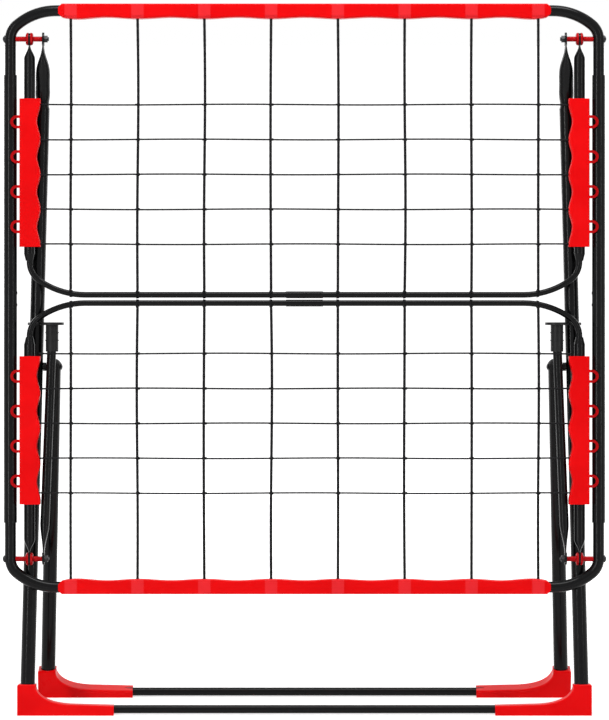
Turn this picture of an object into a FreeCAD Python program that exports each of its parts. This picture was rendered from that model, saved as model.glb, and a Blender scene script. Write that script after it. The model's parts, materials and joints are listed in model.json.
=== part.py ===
import FreeCAD, Part
import math
import os
from FreeCAD import Vector

# A folding ball rebounder, in millimetres: an upright ring of steel tube that carries two tilting
# cord panels, a tall front leg that the ring is bolted to, and a shorter rear leg hinged behind it.
# X runs across the nets, +Y points away from the player and +Z is up. The parts are drawn upright,
# with the ring's plane at Y = 0, and are leaned back into the standing pose at the end.

# Ring frame
RING_WIDTH = 894.0            # between the centre lines of the two side tubes
RING_LOW = 195.0              # centre line of the bottom bar above the ground
RING_HIGH = 1071.0            # centre line of the top bar above the ground
SIDE_TUBE_R = 10.0
BOW_R = 8.5
BOW_WALL = 1.2
BOW_SMALL_BEND = 28.0         # each corner is a tight bend followed by a wide one
BOW_WIDE_BEND = 92.0
BOW_SPLIT_ANGLE = 50.0
BOW_SOCKET_DEPTH = 98.0       # from the bar's centre line down to the mouth of the side tube
BOW_INSERT = 40.0
SLEEVE_LENGTH = 90.0
SLEEVE_WALL = 1.2
RIVET_R = 2.4
RIVET_HEAD_R = 4.2
RIVET_HEAD = 1.6
RIVET_SPREAD = 9.0
FIT = 0.1                     # clearance between pieces that plug into one another
SEAT_GAP = 0.4                # where a piece ends against a curved or slanting one

# Pivots that join the ring, the panels, the front leg and the stays
PIVOT_INSET = 43.0            # from each bar's centre line to the bolt
BOLT_R = 3.0
BOLT_FIT = 0.08               # a running fit on the bolt
BOLT_HOLE_R = BOLT_R + BOLT_FIT
BOLT_HEAD_R = 5.5
BOLT_HEAD = 2.6
NUT_ACROSS = 10.0
NUT_HEIGHT = 5.0
PLATE = 3.0                   # thickness of a tube end pressed flat
HUB_R = 9.6
HUB_HALF = 4.0
SPACER_R = 3.9
RUN_GAP = 0.3                 # between pieces that move past one another

# Tilting panels
ARM_INSET = 29.0              # from the ring's side to the panel arms, centre lines
ARM_R = 8.5
ARM_WALL = 1.2
ARM_EYE_R = 9.0
ARM_EYE_LENGTH = 9.4
ARM_TAPER = 21.0
ARM_NECK_R = 5.8
ARM_NECK_LENGTH = 11.0
ARM_SOLID_END = 36.0          # the swaged length that grips the rod
ARM_TO_ROD = 51.7             # from the end of an arm to the rod's line, room for its corner
ROD_R = 4.5
ROD_APART = 12.6              # between the two panels' rods at the middle of the ring
ROD_SMALL_BEND = 34.0
ROD_WIDE_BEND = 122.0
ROD_SPLIT_ANGLE = 55.0
ROD_INSERT = 30.0
ROD_SLEEVE_LENGTH = 56.0
ROD_SLEEVE_WALL = 0.8
PANEL_TILT = 25.0

# Cord nets
CORD_COLUMNS = 8
CORD_END = 19.1               # from a rail cover's end to the outermost cord
CORD_ROWS = 5
CORD_FIRST_ROW = 100.0        # from the pivot to the first row
CORD_LAST_ROW = 25.0          # from the last row to the end of the panel arm
CORD_W = 3.8
ROW_CORD_W = 2.3
ROW_GRIP = 2.4                # how far a row cord's end reaches into a side cover's crest
STRAP = 1.4                   # thickness of a cord's loop round the rod
STRAP_TAIL = 10.0
NET_Y = -6.6
TAIL_GAP = 4.8                # where each column cord bends as its panel tilts

# Plastic covers
RAIL_INSET = 73.0             # from the ring's side to each end of a rail cover
RAIL_WALL = 1.8
RAIL_CREST = 2.4
RAIL_PAD_W = 20.0
RAIL_PAD = 0.8
COVER_BEFORE = 9.0            # from the near end of a side cover to its first crest
COVER_PAST = 4.0              # from its last crest to its far end
LOWER_COVER_SHIFT = -8.0      # the lower covers sit this much nearer their pivots
COVER_OUTER = 14.6            # from the arm's centre line
COVER_INNER = 11.6
COVER_CREST = 5.2
COVER_FRONT_Y = -13.6
COVER_BACK_Y = 3.0
LUG_REACH = 13.6
LUG_HALF = 10.0
LUG_THICK = 2.8
LUG_RIM = 4.2
LUG_COUNT = 4

# Front leg
LEG_Y = 22.0                  # the legs' plane behind the ring
LEG_R = 11.0
LEG_WALL = 1.4
LEG_INSET = 50.0              # from the ring's side to the top of the leg, centre lines
LEG_SPLAY = 26.5              # how much wider each leg stands at its foot
LEG_EYE_R = 10.0
LEG_EYE_LENGTH = 9.0
LEG_TAPER = 42.0
LEG_OFFSET_LENGTH = 96.0      # over which the tube bends back to the legs' plane
CROSSBAR_R = 6.35
CROSSBAR_WALL = 1.2
CROSSBAR_Z = 7.6
BOOT_LENGTH = 147.0
BOOT_HEIGHT = 46.0
BOOT_WALL = 3.0
BOOT_TOE = 15.2
BOOT_INSTEP = 64.0            # from the socket to the foot of the gusset's curve
BOOT_SOLE = 4.0               # extra depth that the ground plane trims flat
BOOT_ROUND = 2.4
BOOT_SOCKET_FLOOR = 9.0

# Stays from the lower bolts up to the front leg
STAY_R = 7.0
STAY_WALL = 1.2
STAY_LEAN_IN = 14.0           # how much nearer the middle each stay is at its top
STAY_Y = 2.6
STAY_BELOW_ROD = 33.7         # from the top of a stay to the lower panel's rod
STAY_EYE_R = 9.0
STAY_EYE_LENGTH = 9.0
STAY_TAPER = 46.0
CAP_R = 9.6
CAP_LENGTH = 44.0
CAP_FLANGE_R = 18.0
CAP_FLANGE = 4.0
CAP_RIB = 0.7
CAP_RIB_W = 2.0
COLLAR_WALL = 3.2

# Rear leg
HINGE_BELOW_STAY = 63.0       # from the top of a stay to the rear leg's hinge
REAR_TOP_INSET = 14.4         # from the front leg's top to the rear leg's, centre lines
REAR_FOOT_INSET = 22.5        # from the front foot to the rear foot, centre lines
REAR_STUB = 6.0
REAR_PLUG_R = 12.6
HINGE_HEAD = 2.4
HINGE_HEAD_R = 5.5
LEAN = 6.0                    # the frame leans back by this much when it stands
STANCE = 145.0                # from the front foot to the rear foot

FAR = 3000.0


def corner_size(small, wide, split):
    """How far a corner of a tight and a wide bend reaches along the bar and along the side."""
    turn = math.radians(split)
    return (small * (1 - math.cos(turn)) + wide * math.cos(turn),
            small * math.sin(turn) + wide * (1 - math.sin(turn)))


PIVOT_HIGH = RING_HIGH - PIVOT_INSET
PIVOT_LOW = RING_LOW + PIVOT_INSET
BOW_BENDS = (BOW_SMALL_BEND, BOW_WIDE_BEND, BOW_SPLIT_ANGLE)
ROD_BENDS = (ROD_SMALL_BEND, ROD_WIDE_BEND, ROD_SPLIT_ANGLE)
RING_X = RING_WIDTH / 2
ARM_X = RING_X - ARM_INSET
COVER_OUTER_X = ARM_X + COVER_OUTER
COVER_INNER_X = ARM_X - COVER_INNER
RAIL_LENGTH = 2 * (RING_X - RAIL_INSET)
CORD_PITCH_X = (RAIL_LENGTH - 2 * CORD_END) / (CORD_COLUMNS - 1)
NET_HALF_SPAN = COVER_INNER_X - COVER_CREST + ROW_GRIP
ROD_DROP = (PIVOT_HIGH - PIVOT_LOW - ROD_APART) / 2     # from the pivot line to the rod
ARM_LENGTH = ROD_DROP - ARM_TO_ROD
CORD_PITCH_Z = (ARM_LENGTH - CORD_FIRST_ROW - CORD_LAST_ROW) / (CORD_ROWS - 1)
STAY_TOP_Z = PIVOT_LOW + ROD_DROP - STAY_BELOW_ROD
HINGE_Z = STAY_TOP_Z - HINGE_BELOW_STAY
LEG_TOP_X = RING_X - LEG_INSET
LEG_FOOT_X = LEG_TOP_X + LEG_SPLAY
LEG_HINGE_X = LEG_TOP_X + LEG_SPLAY * (PIVOT_HIGH - HINGE_Z) / PIVOT_HIGH
REAR_TOP_X = LEG_TOP_X - REAR_TOP_INSET
REAR_FOOT_X = LEG_FOOT_X - REAR_FOOT_INSET

nodes = {}


def keep(name, shape):
    """Files a finished sub-part under its node's name."""
    nodes[name] = shape


def left_of(shape):
    """The left-hand twin of a right-hand piece."""
    return shape.mirror(Vector(0, 0, 0), Vector(1, 0, 0))


def keep_pair(name, shape):
    keep("right_" + name, shape)
    keep("left_" + name, left_of(shape))


def group(shapes):
    return Part.makeCompound(shapes)


def both_sides(shapes):
    return group(shapes + [left_of(shape) for shape in shapes])


def rod_along(start, end, radius):
    """A solid round bar between two points."""
    way = end.sub(start)
    return Part.makeCylinder(radius, way.Length, start, way)


def across(x_from, x_to, radius, y, z):
    """A round bar along X."""
    return rod_along(Vector(x_from, y, z), Vector(x_to, y, z), radius)


def ring_section(centre, half_x, half_y, count=12):
    """A closed oval in a level plane, as a smooth curve."""
    step = 2 * math.pi / count
    points = [centre + Vector(half_x * math.cos(i * step), half_y * math.sin(i * step), 0)
              for i in range(count)]
    curve = Part.BSplineCurve()
    curve.interpolate(Points=points, PeriodicFlag=True)
    return Part.Wire([curve.toShape()])


def eased(share):
    """Rises smoothly from 0 to 1."""
    return share * share * (3 - 2 * share)


def pressed_tube(centre_at, pivot_z, sense, radius, wall, eye, length, bend=0.0, swage=None):
    """A round tube whose pivot end is pressed flat and drilled for the bolt.

    The eye gives the flat end's half width, its length and the taper that follows. The tube's
    centre line may go on bending past the taper. A swage gives the length and end radius of a
    reduced neck at the far end, and the length there that is solid."""
    eye_r, eye_length, taper = eye

    def level(distance):
        x, y = centre_at(distance)
        return Vector(x, y, pivot_z + sense * distance)

    def section(distance):
        share = eased(min((distance - eye_length) / taper, 1))
        half_x = PLATE / 2 + (radius - PLATE / 2) * share
        half_y = eye_r + (radius - eye_r) * share
        return ring_section(level(distance), half_x, half_y)

    pin = level(0)
    plate = Part.makeBox(PLATE, 2 * eye_r, eye_length + 0.5,
                         pin + Vector(-PLATE / 2, -eye_r, 0 if sense > 0 else -eye_length - 0.5))
    plate = plate.fuse(across(pin.x - PLATE / 2, pin.x + PLATE / 2, eye_r, pin.y, pin.z))
    round_from = eye_length + taper
    bend_from = max(eye_length + bend, round_from)
    stations = [eye_length + taper * i / 4 for i in range(5)]
    if bend_from > round_from:
        stations += [round_from + (bend_from - round_from) * i / 3 for i in range(1, 4)]
    sections = [section(distance) for distance in stations]
    flare = Part.makeLoft(sections, True, False)
    hollow_to = length + 1
    rounds = [sections[-1], ring_section(level(length), radius, radius)]
    if swage:
        neck_length, neck_r, solid_length = swage
        hollow_to = length - solid_length
        rounds[1] = ring_section(level(length - neck_length), radius, radius)
        rounds.append(ring_section(level(length), neck_r, neck_r))
    straight = Part.makeLoft(rounds, True, True)
    bore = Part.makeLoft([ring_section(level(bend_from), radius - wall, radius - wall),
                          ring_section(level(hollow_to), radius - wall, radius - wall)], True, True)
    tube = plate.fuse([flare, straight]).removeSplitter().cut(bore)
    hole = across(pin.x - PLATE, pin.x + PLATE, BOLT_HOLE_R, pin.y, pin.z)
    return tube.cut(hole)


def bow_path(half_width, leg_z, bar_z, small, wide, split):
    """A U from one leg end, round two corners of two bends each, to the other leg end."""
    turn = math.radians(split)
    sense = 1 if bar_z > leg_z else -1
    reach, drop = corner_size(small, wide, split)

    def place(in_from_side, below_bar):
        return Vector(half_width - in_from_side, 0, bar_z - sense * below_bar)

    def small_bend(angle):
        return place(small * (1 - math.cos(angle)), drop - small * math.sin(angle))

    def wide_bend(angle):
        return place(reach - wide * math.cos(angle), wide * (1 - math.sin(angle)))

    corner_start, corner_middle, corner_end = small_bend(0), small_bend(turn), wide_bend(math.pi / 2)
    half = [Part.LineSegment(place(0, abs(bar_z - leg_z)), corner_start).toShape(),
            Part.Arc(corner_start, small_bend(turn / 2), corner_middle).toShape(),
            Part.Arc(corner_middle, wide_bend((turn + math.pi / 2) / 2), corner_end).toShape()]
    other = [left_of(edge) for edge in reversed(half)]
    bar = Part.LineSegment(corner_end, Vector(-corner_end.x, 0, corner_end.z)).toShape()
    return Part.Wire(Part.__sortEdges__(half + [bar] + other))


def swept(path, start, radius):
    """A round bar along a path that leaves its start along Z."""
    profile = Part.Wire([Part.makeCircle(radius, start, Vector(0, 0, 1))])
    return path.makePipeShell([profile], True, False)


def bent_tube(half_width, leg_z, bar_z, bends, radius, wall):
    path = bow_path(half_width, leg_z, bar_z, *bends)
    start = Vector(half_width, 0, leg_z)
    tube = swept(path, start, radius)
    if wall:
        tube = tube.cut(swept(path, start, radius - wall))
    return tube


def wave(x_from, x_to, crests, base, height):
    """A scalloped edge whose crests lie at the given places."""
    points = [Vector(x_from, 0, base)]
    for i, crest in enumerate(crests):
        points.append(Vector(crest, 0, base + height))
        if i + 1 < len(crests):
            points.append(Vector((crest + crests[i + 1]) / 2, 0, base))
    points.append(Vector(x_to, 0, base))
    curve = Part.BSplineCurve()
    curve.interpolate(points)
    return curve.toShape()


def cord_columns():
    first = -(CORD_COLUMNS - 1) / 2 * CORD_PITCH_X
    return [first + i * CORD_PITCH_X for i in range(CORD_COLUMNS)]


def cord_rows():
    return [CORD_FIRST_ROW + i * CORD_PITCH_Z for i in range(CORD_ROWS)]


def rail_cover(bar_z, inward):
    """The scalloped cover that snaps over a bar; inward is the sense towards the net."""
    half = RAIL_LENGTH / 2
    skin = BOW_R + RAIL_WALL
    chamfer = skin * 0.55
    edge = wave(-half + chamfer, half - chamfer, cord_columns(), skin, RAIL_CREST)
    corners = [Vector(half - chamfer, 0, skin), Vector(half, 0, skin - chamfer), Vector(half, 0, -skin + chamfer),
               Vector(half - chamfer, 0, -skin), Vector(-half + chamfer, 0, -skin),
               Vector(-half, 0, -skin + chamfer), Vector(-half, 0, skin - chamfer), Vector(-half + chamfer, 0, skin)]
    outline = [edge] + [Part.LineSegment(a, b).toShape() for a, b in zip(corners, corners[1:])]
    face = Part.Face(Part.Wire(outline))
    body = face.extrude(Vector(0, 2 * skin, 0))
    body.translate(Vector(0, -skin, 0))
    rims = [edge for edge in body.Edges
            if abs(abs(edge.BoundBox.YMin) - skin) < 0.01 and abs(edge.BoundBox.YLength) < 0.01
            and edge.BoundBox.XLength > RAIL_LENGTH / 2]
    body = body.makeFillet(BOOT_ROUND, rims)
    for x in cord_columns():
        pad = Part.makeBox(RAIL_PAD_W, RAIL_PAD + 1, 2 * skin - 2 * BOOT_ROUND,
                           Vector(x - RAIL_PAD_W / 2, -skin - RAIL_PAD, -skin + BOOT_ROUND))
        body = body.fuse(pad)
    bore = across(-half - 1, half + 1, BOW_R + FIT, 0, 0)
    slit = Part.makeBox(RAIL_LENGTH + 2, skin + 1, 1.2, Vector(-half - 1, 0, -0.6))
    cover = body.cut([bore, slit])
    for x in cord_columns():
        cover = cover.cut(rod_along(Vector(x, NET_Y, skin - 1.5), Vector(x, NET_Y, skin + 9), CORD_W / 2 + FIT))
    if inward < 0:
        cover.rotate(Vector(0, 0, 0), Vector(0, 1, 0), 180)
    cover.translate(Vector(0, 0, bar_z))
    return cover


def side_cover(pivot_z, sense, shift):
    """The scalloped cover clipped over a panel arm, with eye lugs along its outer edge."""
    crests = [row + shift for row in cord_rows()]
    start, end = crests[0] - COVER_BEFORE, crests[-1] + COVER_PAST
    points = [Vector(COVER_INNER_X - COVER_CREST, 0, start)]
    for i, crest in enumerate(crests):
        points.append(Vector(COVER_INNER_X - COVER_CREST, 0, crest))
        if i + 1 < len(crests):
            points.append(Vector(COVER_INNER_X, 0, (crest + crests[i + 1]) / 2))
    points.append(Vector(COVER_INNER_X - COVER_CREST, 0, end))
    scallops = Part.BSplineCurve()
    scallops.interpolate(points)
    near, far = points[0], points[-1]
    outer_near, outer_far = Vector(COVER_OUTER_X, 0, start), Vector(COVER_OUTER_X, 0, end)
    outline = [scallops.toShape()] + [Part.LineSegment(a, b).toShape() for a, b in
                                      ((far, outer_far), (outer_far, outer_near), (outer_near, near))]
    face = Part.Face(Part.Wire(outline))
    body = face.extrude(Vector(0, COVER_BACK_Y - COVER_FRONT_Y, 0))
    body.translate(Vector(0, COVER_FRONT_Y, 0))
    rims = [edge for edge in body.Edges
            if abs(edge.BoundBox.YMax - COVER_FRONT_Y) < 0.01 and edge.BoundBox.ZLength > 50]
    body = body.makeFillet(BOOT_ROUND, rims)
    channel = rod_along(Vector(ARM_X, 0, 0), Vector(ARM_X, 0, end + 1), ARM_R + FIT)
    mouth = Part.makeBox(2 * (ARM_R + FIT), COVER_BACK_Y + 1, end + 1,
                         Vector(ARM_X - ARM_R - FIT, 0, 0))
    body = body.cut([channel, mouth])
    for row in range(LUG_COUNT):
        z = crests[row] + CORD_PITCH_Z / 2
        loop = (Part.makeCylinder(LUG_HALF, LUG_THICK, Vector(0, 0, 0), Vector(0, 1, 0))
                .cut(Part.makeCylinder(LUG_HALF - LUG_RIM, LUG_THICK, Vector(0, 0, 0), Vector(0, 1, 0)))
                .cut(Part.makeBox(4 * LUG_HALF, 4 * LUG_HALF, 4 * LUG_HALF,
                                  Vector(-4 * LUG_HALF, -LUG_HALF, -2 * LUG_HALF))))
        loop.translate(Vector(COVER_OUTER_X + LUG_REACH - LUG_HALF, COVER_FRONT_Y, z))
        legs = [Part.makeBox(LUG_REACH - LUG_HALF + 2, LUG_THICK, LUG_RIM,
                             Vector(COVER_OUTER_X - 2, COVER_FRONT_Y, z + offset))
                for offset in (-LUG_HALF, LUG_HALF - LUG_RIM)]
        body = body.fuse([loop] + legs)
    for row in cord_rows():
        body = body.cut(across(COVER_INNER_X - COVER_CREST - 1, NET_HALF_SPAN + FIT,
                               ROW_CORD_W * 0.75 + FIT, NET_Y, row))
    body = body.removeSplitter()
    return stood_on_pivot(body, pivot_z, sense)


def stood_on_pivot(shape, pivot_z, sense):
    """Puts a piece drawn upwards from its pivot on the high or the low pivot."""
    if sense < 0:
        shape = shape.mirror(Vector(0, 0, 0), Vector(0, 0, 1))
    shape.translate(Vector(0, 0, pivot_z))
    return shape


def panel_rod(radius):
    """The thin bent rod of a panel, drawn upwards from the pivot line."""
    return bent_tube(ARM_X, ARM_LENGTH - ROD_INSERT, ROD_DROP, ROD_BENDS, radius, 0)


def rod_at(x):
    """How far the rod is from the pivot line at a cord, and its slope there in degrees."""
    past = max(corner_size(*ROD_BENDS)[0] - (ARM_X - abs(x)), 0)
    angle = math.asin(past / ROD_WIDE_BEND)
    return ROD_DROP - ROD_WIDE_BEND * (1 - math.cos(angle)), math.degrees(math.copysign(angle, x))


def panel_net(pivot_z, sense):
    """A flat net: column cords from the pivot line to the rod, row cords between the covers."""
    pieces = []
    loop_r = ROD_R + FIT + STRAP
    for x in cord_columns():
        drop, slope = rod_at(x)
        pieces.append(Part.makeBox(CORD_W, CORD_W, drop - TAIL_GAP,
                                   Vector(x - CORD_W / 2, NET_Y - CORD_W / 2, TAIL_GAP)))
        loop = across(x - CORD_W / 2, x + CORD_W / 2, loop_r, 0, drop)
        loop.rotate(Vector(x, 0, drop), Vector(0, 1, 0), slope)
        pieces.append(loop)
        pieces.append(Part.makeBox(CORD_W, abs(NET_Y), STRAP_TAIL,
                                   Vector(x - CORD_W / 2, NET_Y, drop - STRAP_TAIL)))
    for row in cord_rows():
        pieces.append(Part.makeBox(2 * NET_HALF_SPAN, ROW_CORD_W, ROW_CORD_W,
                                   Vector(-NET_HALF_SPAN, NET_Y - ROW_CORD_W / 2, row - ROW_CORD_W / 2)))
    net = pieces[0].fuse(pieces[1:]).cut(panel_rod(ROD_R + FIT)).removeSplitter()
    return stood_on_pivot(net, pivot_z, sense)


def cord_tails(pivot_z, sense):
    """The short ends of the column cords, from the pivot line to the rail cover."""
    end = PIVOT_INSET - BOW_R - RAIL_WALL + 1.4
    tails = [Part.makeCylinder(CORD_W / 2, end, Vector(x, NET_Y, 0)) for x in cord_columns()]
    return stood_on_pivot(group(tails), pivot_z, -sense)


def hubs(pivot_z):
    """Moulded washers either side of each panel arm's flat end."""
    pieces = []
    for side in (1, -1):
        inner = ARM_X + side * (PLATE / 2 + FIT)
        profile = [Vector(0, 0, BOLT_HOLE_R), Vector(0, 0, HUB_R), Vector(side * HUB_HALF * 0.45, 0, HUB_R)]
        tip = Vector(side * HUB_HALF, 0, SPACER_R + 1.2)
        crown = Part.Arc(profile[-1], Vector(side * HUB_HALF * 0.82, 0, (HUB_R + SPACER_R + 1.2) / 2 + 1.2), tip)
        base = Vector(side * HUB_HALF, 0, BOLT_HOLE_R)
        edges = [Part.LineSegment(profile[0], profile[1]).toShape(), Part.LineSegment(profile[1], profile[2]).toShape(),
                 crown.toShape(), Part.LineSegment(tip, base).toShape(), Part.LineSegment(base, profile[0]).toShape()]
        hub = Part.Face(Part.Wire(edges)).revolve(Vector(0, 0, 0), Vector(1, 0, 0), 360)
        hub.translate(Vector(inner, 0, pivot_z))
        pieces.append(hub)
    return both_sides(pieces)


def pivot_spacers(pivot_z, plate_x):
    """Moulded tubes that keep the panel arm clear of the ring and of the flat end inside it."""
    hub_reach = PLATE / 2 + FIT + HUB_HALF + RUN_GAP
    ring = rod_along(Vector(RING_X, 0, 0), Vector(RING_X, 0, FAR), BOW_R + SEAT_GAP)
    outer = across(ARM_X + hub_reach, RING_X - BOW_R + 3, SPACER_R, 0, pivot_z).cut(ring)
    inner = across(plate_x + PLATE / 2 + FIT, ARM_X - hub_reach, SPACER_R, 0, pivot_z)
    hole = across(0, FAR, BOLT_HOLE_R, 0, pivot_z)
    return both_sides([outer.cut(hole), inner.cut(hole)])


def hexagon(x, y, z, flats, height):
    """A hexagonal nut blank along X."""
    corner = flats / math.sqrt(3)
    points = [Vector(x, y + corner * math.cos(i * math.pi / 3), z + corner * math.sin(i * math.pi / 3))
              for i in range(7)]
    return Part.Face(Part.makePolygon(points)).extrude(Vector(height, 0, 0))


def domed_head(x, y, z, radius, height):
    """A low round head that stands outwards along X."""
    ball = (radius * radius + height * height) / (2 * height)
    dome = Part.makeSphere(ball, Vector(x + height - ball, y, z))
    return dome.common(across(x, x + height + 1, radius, y, z))


def pivot_bolt(pivot_z, plate_x):
    """A bolt from outside the ring to just past the nut on the innermost flat end."""
    seat = RING_X + BOW_R
    end = plate_x - PLATE / 2 - NUT_HEIGHT - 2
    flat = across(seat, seat + 0.8, BOLT_HEAD_R, 0, pivot_z)
    ring = rod_along(Vector(RING_X, 0, 0), Vector(RING_X, 0, FAR), BOW_R + FIT)
    washer = across(seat - 3, seat + 0.1, BOLT_HEAD_R, 0, pivot_z).cut(ring)
    bolt = across(end, seat + 0.5, BOLT_R, 0, pivot_z)
    return bolt.fuse([flat, washer, domed_head(seat + 0.8, 0, pivot_z, BOLT_HEAD_R, BOLT_HEAD)]).removeSplitter()


def pivot_nut(pivot_z, plate_x):
    start = plate_x - PLATE / 2 - FIT
    nut = hexagon(start - NUT_HEIGHT, 0, pivot_z, NUT_ACROSS, NUT_HEIGHT)
    return nut.cut(across(0, FAR, BOLT_R + FIT / 2, 0, pivot_z))


def build_ring():
    """The ring: two bows, four side tubes, their joints and the rail covers."""
    middle = (RING_LOW + RING_HIGH) / 2
    for name, bar_z, sense, pivot_z in (("top", RING_HIGH, 1, PIVOT_HIGH), ("bottom", RING_LOW, -1, PIVOT_LOW)):
        mouth = bar_z - sense * BOW_SOCKET_DEPTH
        bow = bent_tube(RING_X, mouth - sense * BOW_INSERT, bar_z, BOW_BENDS, BOW_R, BOW_WALL)
        bow = bow.cut(across(-FAR, FAR, BOLT_HOLE_R, 0, pivot_z))
        keep(name + "_bow", bow)
        tube = rod_along(Vector(RING_X, 0, mouth), Vector(RING_X, 0, middle), SIDE_TUBE_R)
        tube = tube.cut(rod_along(Vector(RING_X, 0, 0), Vector(RING_X, 0, FAR), BOW_R + FIT))
        rivet_z = middle + sense * RIVET_SPREAD
        tube = tube.cut(across(0, RING_X, RIVET_R + FIT, 0, rivet_z))
        keep_pair(("upper" if sense > 0 else "lower") + "_side_tube", tube)
        keep(name + "_rail_cover", rail_cover(bar_z, -sense))

    low, high = middle - SLEEVE_LENGTH / 2, middle + SLEEVE_LENGTH / 2
    sleeve = rod_along(Vector(RING_X, 0, low), Vector(RING_X, 0, high), BOW_R)
    sleeve = sleeve.cut(rod_along(Vector(RING_X, 0, 0), Vector(RING_X, 0, FAR), BOW_R - SLEEVE_WALL))
    rivets = []
    for sense in (1, -1):
        z = middle + sense * RIVET_SPREAD
        sleeve = sleeve.cut(across(0, RING_X, RIVET_R + FIT, 0, z))
        inner_face = RING_X - SIDE_TUBE_R
        shank = across(inner_face - 0.1, RING_X - BOW_R + SLEEVE_WALL + 2, RIVET_R, 0, z)
        head = left_of(domed_head(0, 0, z, RIVET_HEAD_R, RIVET_HEAD))
        head.translate(Vector(inner_face + 0.9, 0, 0))
        head = head.cut(rod_along(Vector(RING_X, 0, 0), Vector(RING_X, 0, FAR), SIDE_TUBE_R + FIT / 2))
        rivets.append(shank.fuse(head).removeSplitter())
    keep("side_joint_sleeves", both_sides([sleeve]))
    keep("side_joint_rivets", both_sides(rivets))


def build_panel(word, pivot_z, sense, cover_shift):
    """One tilting panel: two arms, the rod between them, covers and net. sense points to the rod."""
    arm = pressed_tube(lambda distance: (ARM_X, 0), 0, 1, ARM_R, ARM_WALL, (ARM_EYE_R, ARM_EYE_LENGTH, ARM_TAPER),
                       ARM_LENGTH, swage=(ARM_NECK_LENGTH, ARM_NECK_R, ARM_SOLID_END))
    arm = arm.cut(rod_along(Vector(ARM_X, 0, ARM_LENGTH - ARM_SOLID_END - 1), Vector(ARM_X, 0, ARM_LENGTH + 1),
                            ROD_R + FIT))
    keep_pair(word + "_panel_arm", stood_on_pivot(arm, pivot_z, sense))
    keep(word + "_panel_rod", stood_on_pivot(panel_rod(ROD_R), pivot_z, sense))
    half = ROD_SLEEVE_LENGTH / 2
    sleeve = across(-half, half, ROD_R + ROD_SLEEVE_WALL, 0, ROD_DROP)
    sleeve = sleeve.cut(across(-half - 1, half + 1, ROD_R + FIT, 0, ROD_DROP))
    keep(word + "_rod_sleeve", stood_on_pivot(sleeve, pivot_z, sense))
    keep_pair(word + "_side_cover", side_cover(pivot_z, sense, cover_shift))
    keep(word + "_net", panel_net(pivot_z, sense))
    keep(word + "_pivot_hubs", hubs(pivot_z))


def boot(foot_x, height_axis_from):
    """A moulded corner boot for the right-hand foot; the leg tube runs from the foot up to a point."""
    outer = foot_x + LEG_R + BOOT_WALL
    toe = outer - BOOT_LENGTH
    inner = foot_x - LEG_R - BOOT_WALL
    low = -BOOT_SOLE
    top_left, top_right = Vector(inner, 0, BOOT_HEIGHT), Vector(outer, 0, BOOT_HEIGHT)
    shoulder = Vector(inner, 0, BOOT_HEIGHT - 5)
    instep = Vector(inner - BOOT_INSTEP, 0, BOOT_TOE)
    sweep = Part.BezierCurve()
    sweep.setPoles([shoulder, Vector(inner - BOOT_INSTEP * 0.08, 0, BOOT_TOE + (shoulder.z - BOOT_TOE) * 0.3),
                    Vector(inner - BOOT_INSTEP * 0.45, 0, BOOT_TOE), instep])
    corners = [instep, Vector(toe, 0, BOOT_TOE - 1.5), Vector(toe, 0, low), Vector(outer, 0, low), top_right,
               top_left, shoulder]
    outline = [sweep.toShape()] + [Part.LineSegment(a, b).toShape() for a, b in zip(corners, corners[1:])]
    half = LEG_R + BOOT_WALL - 0.6
    block = Part.Face(Part.Wire(outline)).extrude(Vector(0, 2 * half, 0))
    block.translate(Vector(0, -half, 0))
    rims = [edge for edge in block.Edges if edge.BoundBox.YLength < 0.01 and edge.BoundBox.ZMin > low + 0.1]
    posts = [edge for edge in block.Edges
             if edge.BoundBox.YLength > half and edge.BoundBox.XMin > outer - 0.01 and edge.BoundBox.ZMin > 0]
    block = block.makeFillet(BOOT_ROUND, rims + posts)
    leg_line = height_axis_from.sub(Vector(foot_x, 0, 0))
    leg_line.normalize()
    socket_start = Vector(foot_x, 0, 0) + leg_line * (BOOT_SOCKET_FLOOR / leg_line.z)
    socket = rod_along(socket_start, socket_start + leg_line * BOOT_HEIGHT, LEG_R + FIT)
    passage = across(toe - 1, inner + BOOT_WALL - 1.5, CROSSBAR_R + FIT, 0, CROSSBAR_Z)
    return block.cut([socket, passage])


def crossbar(foot_x):
    half = foot_x - LEG_R - 1.5 - 2 * FIT
    bar = across(-half, half, CROSSBAR_R, 0, CROSSBAR_Z)
    return bar.cut(across(-half, half, CROSSBAR_R - CROSSBAR_WALL, 0, CROSSBAR_Z))


def front_leg_x(distance):
    return LEG_TOP_X + LEG_SPLAY * distance / PIVOT_HIGH


def build_front_leg():
    """The front leg: two long tubes bolted at the top pivots, a crossbar and two boots."""
    def axis(distance):
        share = min(max((distance - LEG_EYE_LENGTH) / LEG_OFFSET_LENGTH, 0), 1)
        return front_leg_x(distance), LEG_Y * eased(share)

    tube = pressed_tube(axis, PIVOT_HIGH, -1, LEG_R, LEG_WALL, (LEG_EYE_R, LEG_EYE_LENGTH, LEG_TAPER),
                        PIVOT_HIGH - BOOT_SOCKET_FLOOR - SEAT_GAP, bend=LEG_OFFSET_LENGTH)
    tube = tube.cut(across(LEG_HINGE_X - 2 * LEG_R, LEG_HINGE_X + 2 * LEG_R, BOLT_HOLE_R, LEG_Y, HINGE_Z))
    keep_pair("front_leg_tube", tube)
    shoe = boot(LEG_FOOT_X, Vector(LEG_TOP_X, 0, PIVOT_HIGH))
    bar = crossbar(LEG_FOOT_X)
    for piece in (shoe, bar):
        piece.translate(Vector(0, LEG_Y, 0))
    keep_pair("front_boot", shoe)
    keep("front_crossbar", bar)


def stay_axis(distance):
    share = distance / (STAY_TOP_Z - PIVOT_LOW)
    set_back = min(max((distance - STAY_EYE_LENGTH) / STAY_TAPER, 0), 1)
    return LEG_TOP_X - STAY_LEAN_IN * share, STAY_Y * eased(set_back)


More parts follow.
